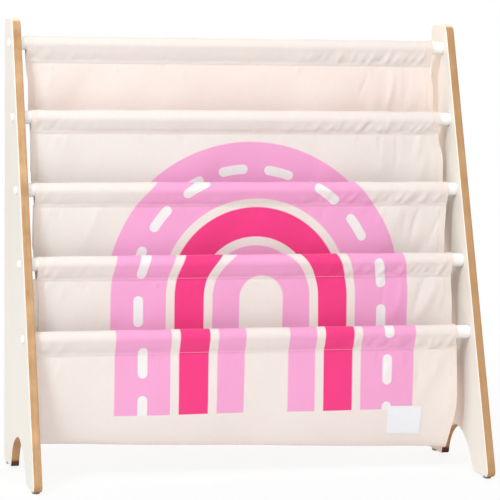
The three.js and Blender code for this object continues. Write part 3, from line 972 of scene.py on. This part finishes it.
class Level:
    """How the cloth creases at one dowel's seam: the same for both layers that meet there.

    Places are given across the sling and by the drop below the seam, negative on the sleeve."""

    def __init__(self, number):
        draw = np.random.default_rng(CREASE_SEED + number)
        half = SLING_WIDTH / 2
        self.creases = []
        across = SLEEVE_CREASE_INSETS[0] - half
        while across < half - SLEEVE_CREASE_INSETS[1]:
            toward_right = float(risen(across, *TOWARD_RIGHT))
            toward_left = float(risen(-across, *TOWARD_LEFT))
            strength = LEAST_STRENGTH + RIGHT_STRENGTH * toward_right + LEFT_STRENGTH * toward_left
            heights = [height * strength for height in SLEEVE_CREASE_HEIGHTS]
            self.add(draw, across, SLEEVE_CREASE, heights)
            across += draw.uniform(*SLEEVE_CREASE_STEPS) / (CREASE_SPREAD + CREASE_CROWDING * strength)
        across = SEAM_CREASE_INSETS[0] - half
        while across < half - SEAM_CREASE_INSETS[1]:
            self.add(draw, across, SEAM_CREASE, SEAM_CREASE_HEIGHTS)
            across += draw.uniform(*SEAM_CREASE_STEPS)
        for _ in range(STRAY_CREASES):
            self.add(draw, draw.uniform(-half, half), STRAY_CREASE, STRAY_CREASE_HEIGHTS)
        for kind, shift, folds in ((LONG_FOLD, LONG_FOLD_SHIFT, LONG_FOLDS),
                                   (NARROW_FOLD, NARROW_FOLD_SHIFT, NARROW_FOLDS)):
            for across, low, high in folds:
                self.add(draw, across + draw.uniform(-shift, shift), kind, (low, high))
        self.waves = [(draw.uniform(*WAVE_LENGTHS), draw.uniform(0, 2 * math.pi), draw.uniform(*WAVE_SLANTS))
                      for _ in range(WAVE_COUNT)]

    def add(self, draw, across, kind, heights):
        sign = 1 if draw.random() < FORWARD_SHARE else -1
        low, lean, width, length, height = (draw.uniform(*span) for span in (*kind, heights))
        self.creases.append((across, low, math.radians(lean), width, length, sign * height))

    def creased(self, across, drop):
        """How far the creases stand out from the smooth cloth."""
        out = np.zeros(np.broadcast(across, drop).shape)
        for middle_at, low, lean, width, length, height in self.creases:
            right, down = across - middle_at, drop - low
            over = (right * math.sin(lean) + down * math.cos(lean)) / width
            on = (right * math.cos(lean) - down * math.sin(lean)) / length
            out += height * np.exp(-over * over - on * on)
        return out

    def waved(self, across, drop):
        """Long soft waves, the deeper the further the cloth hangs below its seam."""
        turns = FOLD_COUNT * (across / SLING_WIDTH + 0.5)
        out = FOLD_DEPTH * np.sin(2 * math.pi * turns) * ease(drop / FOLD_RUN)
        for length, phase, slant in self.waves:
            angle = 2 * math.pi * (across + slant * drop) / length + phase
            out -= WAVE_DEPTH * ease(drop / WAVE_RUN) * np.sin(angle)
        return out


LEVELS = [Level(n) for n in range(DOWEL_COUNT)]


class Hung:
    """A sheet's printed face as it hangs: a grid of places and normals over its flat coordinates."""

    def __init__(self, across, along, places):
        self.across, self.along, self.places = across, along, places
        normals = np.cross(np.gradient(places, across, axis=1), np.gradient(places, along, axis=0))
        normals /= np.linalg.norm(normals, axis=2, keepdims=True)
        self.grid = np.concatenate([places, normals], axis=2)

    def at(self, across, along, off):
        """Places of flat points, lifted off the printed face."""
        (column, right), (row, up) = self.step(self.across, across), self.step(self.along, along)
        low = self.grid[row, column] * (1 - right) + self.grid[row, column + 1] * right
        high = self.grid[row + 1, column] * (1 - right) + self.grid[row + 1, column + 1] * right
        between = low * (1 - up) + high * up
        return between[:, :3] + between[:, 3:] * off[:, None]

    @staticmethod
    def step(values, wanted):
        """The grid line before each wanted value, and the share of the way to the next one."""
        index = np.clip(np.searchsorted(values, wanted) - 1, 0, len(values) - 2)
        return index, ((wanted - values[index]) / (values[index + 1] - values[index]))[:, None]


def read_points(obj):
    points = np.zeros(len(obj.data.vertices) * 3)
    obj.data.vertices.foreach_get("co", points)
    return points.reshape(-1, 3)


def write_points(obj, points):
    obj.data.vertices.foreach_set("co", points.astype(np.float32).ravel())
    obj.data.update()


def flat_sheet(across, along):
    """A flat grid with a point at each pair of flat coordinates, which are its UV map too."""
    deselect()
    bpy.ops.mesh.primitive_grid_add(
        x_subdivisions=len(across) - 1, y_subdivisions=len(along) - 1, size=1, calc_uvs=True)
    sheet = bpy.context.object
    points = read_points(sheet)
    columns = np.rint((points[:, 0] + 0.5) * (len(across) - 1)).astype(int)
    rows = np.rint((points[:, 1] + 0.5) * (len(along) - 1)).astype(int)
    flat = np.stack([across[columns], along[rows], np.zeros(len(points))], axis=1)
    write_points(sheet, flat)
    corners = np.zeros(len(sheet.data.loops), int)
    sheet.data.loops.foreach_get("vertex_index", corners)
    sheet.data.uv_layers.active.data.foreach_set("uv", flat[corners, :2].astype(np.float32).ravel())
    return sheet, flat, rows, columns


def evenly(low, high, pitch):
    return np.linspace(low, high, max(2, round((high - low) / pitch) + 1))


def sling_columns():
    """Flat coordinates across the sling, closer together near its two hems."""
    half = SLING_WIDTH / 2
    hem = evenly(-half, HEM_ZONE - half, HEM_COLUMN_PITCH)
    return np.concatenate([hem[:-1], evenly(HEM_ZONE - half, half - HEM_ZONE, COLUMN_PITCH), -hem[-2::-1]])


def hem_relief(to_hem, along):
    """The groove along a hem's stitches, and the puckers between it and the edge."""
    groove = HEM_GROOVE * np.exp(-((to_hem - HEM_STITCH_INSET) / HEM_GROOVE_WIDTH) ** 2)
    pucker = HEM_PUCKER * np.sin(2 * math.pi * along / HEM_PUCKER_LENGTH)
    return pucker * np.exp(-((to_hem - HEM_WIDTH / 2) / (HEM_WIDTH / 3)) ** 2) - groove


def hung_sheet(hung, hemmed, print_ink, reverse_ink):
    """The sheet with its thickness, its hems turned to the reverse side, and where it is printed."""
    sheet, _, rows, columns = flat_sheet(hung.across, hung.along)
    write_points(sheet, hung.places[rows, columns])
    shape = hung.places.shape[:2]
    hemmed, print_ink, reverse_ink = (
        np.broadcast_to(each, shape)[rows, columns] for each in (hemmed, print_ink, reverse_ink))
    group = sheet.vertex_groups.new(name="layers")
    group.add(np.flatnonzero(hemmed).tolist(), 1.0, "REPLACE")
    group.add(np.flatnonzero(~hemmed).tolist(), CLOTH_THICK / HEM_THICK, "REPLACE")
    apply_modifier(sheet, "SOLIDIFY", thickness=HEM_THICK, offset=-1, vertex_group="layers",
                   use_even_offset=False, use_quality_normals=True)
    for name, faces in (("ink", (print_ink, reverse_ink)), ("hem", (hemmed, hemmed))):
        attribute = sheet.data.attributes.new(name, "FLOAT", "POINT")
        attribute.data.foreach_set("value", np.concatenate(faces).astype(np.float32))
    smooth(sheet, degrees=50)
    return sheet


# Stitches: one is modelled, rows are laid out flat, and then they are hung on the cloth

def stitch_shape():
    deselect()
    bpy.ops.mesh.primitive_uv_sphere_add(segments=6, ring_count=4, radius=0.5)
    stitch = bpy.context.object
    stitch.scale = (STITCH_LENGTH, STITCH_WIDTH, 2 * STITCH_RISE)
    settle(stitch)
    return stitch


STITCH = stitch_shape()


def stitch_row(start, end, lift):
    """A row of stitches on the flat cloth from start to end."""
    start, end = Vector((*start, lift)), Vector((*end, lift))
    run = end - start
    row = copy_of(STITCH)
    count = max(1, int(run.length / STITCH_PITCH))
    apply_modifier(row, "ARRAY", count=count, use_relative_offset=False, use_constant_offset=True,
                   constant_offset_displace=(run.length / count, 0, 0))
    begin = start + run / count / 2
    settle(row, begin, (0, 0, math.atan2(run.y, run.x)))
    return row


def hang(obj, hung):
    flat = read_points(obj)
    write_points(obj, hung.at(flat[:, 0], flat[:, 1], flat[:, 2]))
    return obj


def stitched(name, rows, hung):
    """Rows of stitches, joined, hung and smooth."""
    seam = hang(joined(rows), hung)
    smooth(seam, degrees=180)
    return finish_piece(seam, name, "canvas", STITCH_THREAD)


# Sleeves

def resampled(points, pitch):
    """Points at even steps along a polyline, and the length gone at each."""
    steps = np.linalg.norm(np.diff(points, axis=0), axis=1)
    gone = np.concatenate([[0], np.cumsum(steps)])
    along = evenly(0, gone[-1], pitch)
    return np.stack([np.interp(along, gone, points[:, k]) for k in range(points.shape[1])], axis=1), along


def softened(points, reach):
    """The polyline with its corners eased, ends kept."""
    for _ in range(reach):
        points[1:-1] = (points[:-2] + 2 * points[1:-1] + points[2:]) / 4
    return points


def layer_offset(level):
    """Middle of a pocket's layer from the dowel's axis, at the seam: none where a layer hangs alone."""
    return LAYER_OFFSET if 0 < level < DOWEL_COUNT - 1 else 0.0


def sleeve_section(level):
    """Side view of a sleeve's printed face: front seam, over the dowel, rear seam."""
    seam_low = SEAM_LOWS[level]
    seam_top = seam_low - SEAM_BAND
    half = layer_offset(level) + 1.5 * CLOTH_THICK + SEAM_SLACK
    reach = math.hypot(half, seam_top)
    first = math.atan2(-seam_top, half) + math.acos(SLEEVE_RADIUS / reach)
    angles = np.linspace(math.pi - first, first, SLEEVE_ARC_POINTS)
    arc = SLEEVE_RADIUS * np.stack([np.cos(angles), np.sin(angles)], axis=1)
    band = np.array([(-half, -seam_low), (-half, -seam_top)])
    path = np.concatenate([band, arc, (band * (-1, 1))[::-1]])
    even, _ = resampled(path, FINE_PITCH)
    return resampled(softened(even, SLEEVE_SOFTENING), SLEEVE_ROW_PITCH)


def sleeve_relief(n, width, from_seam, round_at):
    """How far the sleeve's cloth stands out from its section."""
    to_hem = SLING_WIDTH / 2 - np.abs(width)
    free = ease(from_seam / SLEEVE_FREE_RUN)
    skirt = SEAM_LOWS[n] - SEAM_BAND - SKIRT_INSET
    creases = SLEEVE_CREASING * LEVELS[n].creased(width, -from_seam)
    creases = creases * ease(LEAST_CREASING + from_seam / SEAM_ZONE)
    creases = np.where(from_seam < SEAM_ZONE, np.abs(creases), creases)
    bulge = SKIRT_BULGE * np.sin(math.pi * np.clip(from_seam / skirt, 0, 1))
    flare = END_FLARE * np.exp(-to_hem / END_FLARE_RUN)
    ripple = RIPPLE_DEPTH * np.sin(2 * math.pi * width / RIPPLE_LENGTH + RIPPLE_PHASE * n)
    puff = SLEEVE_PUFFS[n] * (1 - (2 * width / SLING_WIDTH) ** 2)
    droop = END_DROOP * risen(-2 * width / SLING_WIDTH, *DROOP_SHARES)
    return creases + free * (bulge + flare + ripple + puff - droop + hem_relief(to_hem, round_at))


def sleeve(n):
    section, along = sleeve_section(n)
    across = sling_columns()
    tangents = np.gradient(section, along, axis=0)
    outward = np.stack([-tangents[:, 1], tangents[:, 0]], axis=1)
    total = along[-1]
    round_at = along[:, None]
    from_seam = np.minimum(round_at, total - round_at)
    width = across[None, :]
    out = sleeve_relief(n, width, from_seam, round_at)
    places = np.zeros((len(along), len(across), 3))
    share = width / SLING_WIDTH
    near_seam = ease(1 - round_at / SEAM_END_RUN)
    places[..., 0] = (SLIDES[n] + width + LEFT_ENDS[n] * (0.5 - share)
                      + RIGHT_SEAM_ENDS[n] * near_seam * (0.5 + share))
    places[..., 1] = AXES[n].y + section[:, 0, None] + outward[:, 0, None] * out
    places[..., 2] = AXES[n].z + section[:, 1, None] + outward[:, 1, None] * out
    hung = Hung(across, along, places)
    half = SLING_WIDTH / 2
    hemmed = (half - np.abs(width) < HEM_WIDTH) & (from_seam > SEAM_ZONE)
    cloth = hung_sheet(hung, hemmed, 1 - risen(round_at / total, *SLEEVE_PRINT_END), 0)
    finish_piece(cloth, f"sleeve_{n + 1}", "canvas", CANVAS, f"sling_sleeve_{n + 1}")

    inset = half - HEM_STITCH_INSET
    rows = [stitch_row((-half, place), (half, place), STITCH_LIFT)
            for place in (STITCH_RISE_IN_BAND, total - STITCH_RISE_IN_BAND)]
    rows += [stitch_row((place, SEAM_ZONE), (place, total - SEAM_ZONE), STITCH_LIFT)
             for place in (-inset, inset)]
    seam = stitched(f"sleeve_stitches_{n + 1}", rows, hung)


for n in range(DOWEL_COUNT):
    sleeve(n)


# Pockets

def pocket_section(n):
    """Side view of a pocket's printed face, its front layer first, with how far round it each point is."""
    upper, lower = AXES[n], AXES[n + 1]
    front_y, back_y = lower.y + layer_offset(n + 1), upper.y - layer_offset(n)
    curve_z = lower.z - POCKET_DROP + CURVE_HEIGHT
    centre_y, reach = (back_y + front_y) / 2, (back_y - front_y) / 2
    angles = np.linspace(math.pi, 0, POCKET_CURVE_POINTS)
    curve = np.stack([centre_y + reach * np.cos(angles), curve_z - CURVE_HEIGHT * np.sin(angles)], axis=1)
    front_top = np.array([(front_y, lower.z - SEAM_LOWS[n + 1] + POCKET_TUCK)])
    back_top = np.array([(back_y, upper.z - SEAM_LOWS[n] + POCKET_TUCK)])
    path, along = resampled(np.concatenate([front_top, curve, back_top]), ROW_PITCH)
    tangents = np.gradient(path, along, axis=0)
    tangents /= np.linalg.norm(tangents, axis=1, keepdims=True)
    inward = np.stack([-tangents[:, 1], tangents[:, 0]], axis=1)
    return path + inward * CLOTH_THICK / 2, along


def pocket_places(n, section, along, across):
    """Where a pocket's printed face hangs, each layer shaped by the seam that it hangs from."""
    width = across[None, :]
    share = width / SLING_WIDTH
    way = (along / along[-1])[:, None]
    back = risen(way, *BACK_TURN)
    height = section[:, 1, None]
    relief = hem_relief(SLING_WIDTH / 2 - np.abs(width), along[:, None])
    places = np.zeros((len(along), len(across), 3))
    places[..., 0] = SLIDES[n + 1] + (SLIDES[n] - SLIDES[n + 1]) * way + width
    places[..., 1] = section[:, 0, None]
    places[..., 2] = height
    for level, weight, widening, draws in (
            (n + 1, 1 - back, FRONT_WIDENING[n], FRONT_DRAWS), (n, back, 0.0, BACK_DRAWS)):
        drop = AXES[level].z - SEAM_LOWS[level] - height
        creased = SHEET_CREASING * LEVELS[level].creased(width, drop) + relief
        places[..., 1] += weight * (LEVELS[level].waved(width, drop) - creased * ease(drop / SEAM_ZONE))
        places[..., 1] -= weight * SEAM_SWELL * ease(drop / SWELL_RUN)
        places[..., 2] -= weight * ease(drop / FOLD_RUN) * BOTTOM_TILT * share
        drifting = ease(drop / DRIFT_RUN)
        left = LEFT_ENDS[level] + LEFT_DRIFTS[level] * drifting - widening
        right = RIGHT_SEAM_ENDS[level] + RIGHT_DRIFTS[level] * drifting
        places[..., 0] += weight * (left * (0.5 - share) + right * (0.5 + share))
        for start, run, left_draws, right_draw in draws:
            drawn = risen(drop, start, run)
            places[..., 0] += weight * drawn * (
                left_draws[n] * (0.5 - share) ** DRAW_POWER - right_draw * (0.5 + share) ** DRAW_POWER)
    return places


def pocket(n):
    section, along = pocket_section(n)
    across = sling_columns()
    hung = Hung(across, along, pocket_places(n, section, along, across))
    total = along[-1]
    way = (along / total)[:, None]
    half = SLING_WIDTH / 2
    above_dowel = section[:, 1, None] - AXES[n + 1].z
    shown = risen(above_dowel, *PRINT_RISE) * risen(way, *PRINT_TURN)
    lowest = n == DOWEL_COUNT - 2
    reverse = 1 - risen(way, *REVERSE_TURN) if lowest else SHOW_THROUGH * shown
    cloth = hung_sheet(hung, half - np.abs(across[None, :]) < HEM_WIDTH, shown, reverse)
    finish_piece(cloth, f"pocket_{n + 1}", "canvas", CANVAS, f"sling_pocket_{n + 1}")

    inset = half - HEM_STITCH_INSET
    tuck = POCKET_TUCK + STITCH_CLEARANCE
    rows = [stitch_row((place, tuck), (place, total - tuck), lift)
            for place in (-inset, inset) for lift in (STITCH_LIFT, -HEM_THICK - STITCH_LIFT)]
    seam = stitched(f"pocket_stitches_{n + 1}", rows, hung)
    return hung


for n in range(DOWEL_COUNT - 1):
    last_pocket = pocket(n)


# Label

def rounded(flat, half_width, half_height, radius):
    """Moves the points of a flat rectangle's corners onto quarter discs."""
    beyond = np.maximum(np.abs(flat[:, :2]) - (half_width - radius, half_height - radius), 0) / radius
    squeezed = beyond * np.sqrt(1 - beyond[:, ::-1] ** 2 / 2)
    flat[:, :2] += np.sign(flat[:, :2]) * (squeezed - beyond) * radius
    return flat


def label(hung):
    """A blank tape on the last pocket's front, which shows the cloth's reverse side."""
    low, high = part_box("sewn_label")
    centre = (low + high) / 2 - Vector((0, 0, LABEL_SHIFT))
    front = hung.places[:len(hung.along) // 2]
    away = np.linalg.norm(front - np.array(centre), axis=2)
    row, column = np.unravel_index(np.argmin(away), away.shape)
    half_width, half_height = LABEL_WIDTH / 2, LABEL_HEIGHT / 2
    tape, flat, _, _ = flat_sheet(evenly(-half_width, half_width, LABEL_PITCH),
                                  evenly(-half_height, half_height, LABEL_PITCH))
    flat = rounded(flat, half_width, half_height, LABEL_CORNER)
    place = np.array((hung.across[column], hung.along[row], -CLOTH_THICK - LABEL_GAP))
    write_points(tape, flat + place)
    hang(tape, hung)
    apply_modifier(tape, "SOLIDIFY", thickness=LABEL_THICK, offset=-1, use_even_offset=False,
                   use_quality_normals=True)
    smooth(tape, degrees=50)
    finish_piece(tape, "label", "label", TAPE, "sewn_label")

    across, up = half_width - LABEL_STITCH_INSET, half_height - LABEL_STITCH_INSET
    corners = [(-across, -up), (across, -up), (across, up), (-across, up)]
    lift = place[2] - LABEL_THICK - STITCH_LIFT
    rows = [stitch_row(place[:2] + start, place[:2] + end, lift)
            for start, end in zip(corners, corners[1:] + corners[:1])]
    seam = stitched("label_stitches", rows, hung)


label(last_pocket)
bpy.data.objects.remove(STITCH)


# Floor, light and camera

def floor():
    deselect()
    bpy.ops.mesh.primitive_plane_add(size=FLOOR_SIZE)
    plane = bpy.context.object
    plane.name = "studio_floor"
    material, tree, bsdf = new_material(
        "studio_floor", Base_Color=FLOOR_PAINT, Roughness=0.9, Specular_IOR_Level=0.1)
    reach = put(tree, "VectorMath", {0: object_place(tree)}, operation="LENGTH").outputs["Value"]
    glow = line(tree, reach, FLOOR_FADE, FLOOR_GLOW - FLOOR_FADE * FLOOR_NEAR, clamp=True)
    seen = times(tree, put(tree, "LightPath").outputs["Is Camera Ray"], glow)
    lift = put(tree, "Emission", {"Color": PLAIN_WHITE, "Strength": 1.0})
    blend = put(tree, "MixShader", {0: seen, 1: bsdf.outputs[0], 2: lift.outputs[0]})
    wire(tree, tree.nodes["Material Output"], {"Surface": blend.outputs[0]})
    plane.data.materials.append(material)


def world():
    """White to the camera, in reflections and through clear things; dimmer and tinted as a light."""
    scene_world = bpy.data.worlds.new("studio")
    bpy.context.scene.world = scene_world
    scene_world.use_nodes = True
    tree = scene_world.node_tree
    path = put(tree, "LightPath").outputs
    clear = maths(tree, "MAXIMUM", path["Is Camera Ray"],
                  maths(tree, "MAXIMUM", path["Is Glossy Ray"], path["Is Transmission Ray"]))
    wire(tree, tree.nodes["Background"], {
        "Color": mix(tree, clear, WORLD_TINT, PLAIN_WHITE),
        "Strength": line(tree, clear, 1 - WORLD_LEVEL, WORLD_LEVEL)})


def area_light(name, turn, rise, reach, size, power, colour):
    """A soft light that faces the target; the turn is to the left of straight in front."""
    turn, rise = math.radians(turn), math.radians(rise)
    place = LIGHT_TARGET + reach * Vector((
        -math.sin(turn) * math.cos(rise), -math.cos(turn) * math.cos(rise), math.sin(rise)))
    deselect()
    bpy.ops.object.light_add(type="AREA", location=place)
    light = bpy.context.object
    light.name = name
    light.data.size = size
    light.data.energy = power
    light.data.color = colour
    light.rotation_euler = (LIGHT_TARGET - place).to_track_quat("-Z", "Y").to_euler()


def camera():
    deselect()
    bpy.ops.object.camera_add()
    eye = bpy.context.object
    eye.matrix_world = (
        Matrix.Translation(CAMERA_PLACE)
        @ Matrix.Rotation(-CAMERA_YAW, 4, "Z")
        @ Matrix.Rotation(math.pi / 2 + CAMERA_PITCH, 4, "X")
        @ Matrix.Rotation(CAMERA_ROLL, 4, "Z"))
    eye.data.lens = CAMERA_LENS
    eye.data.sensor_width = CAMERA_SENSOR
    eye.data.shift_x, eye.data.shift_y = CAMERA_SHIFT
    eye.data.clip_end = 100
    bpy.context.scene.camera = eye


floor()
world()
for light in LIGHTS:
    area_light(*light)
camera()
bpy.context.scene.view_settings.view_transform = "Standard"
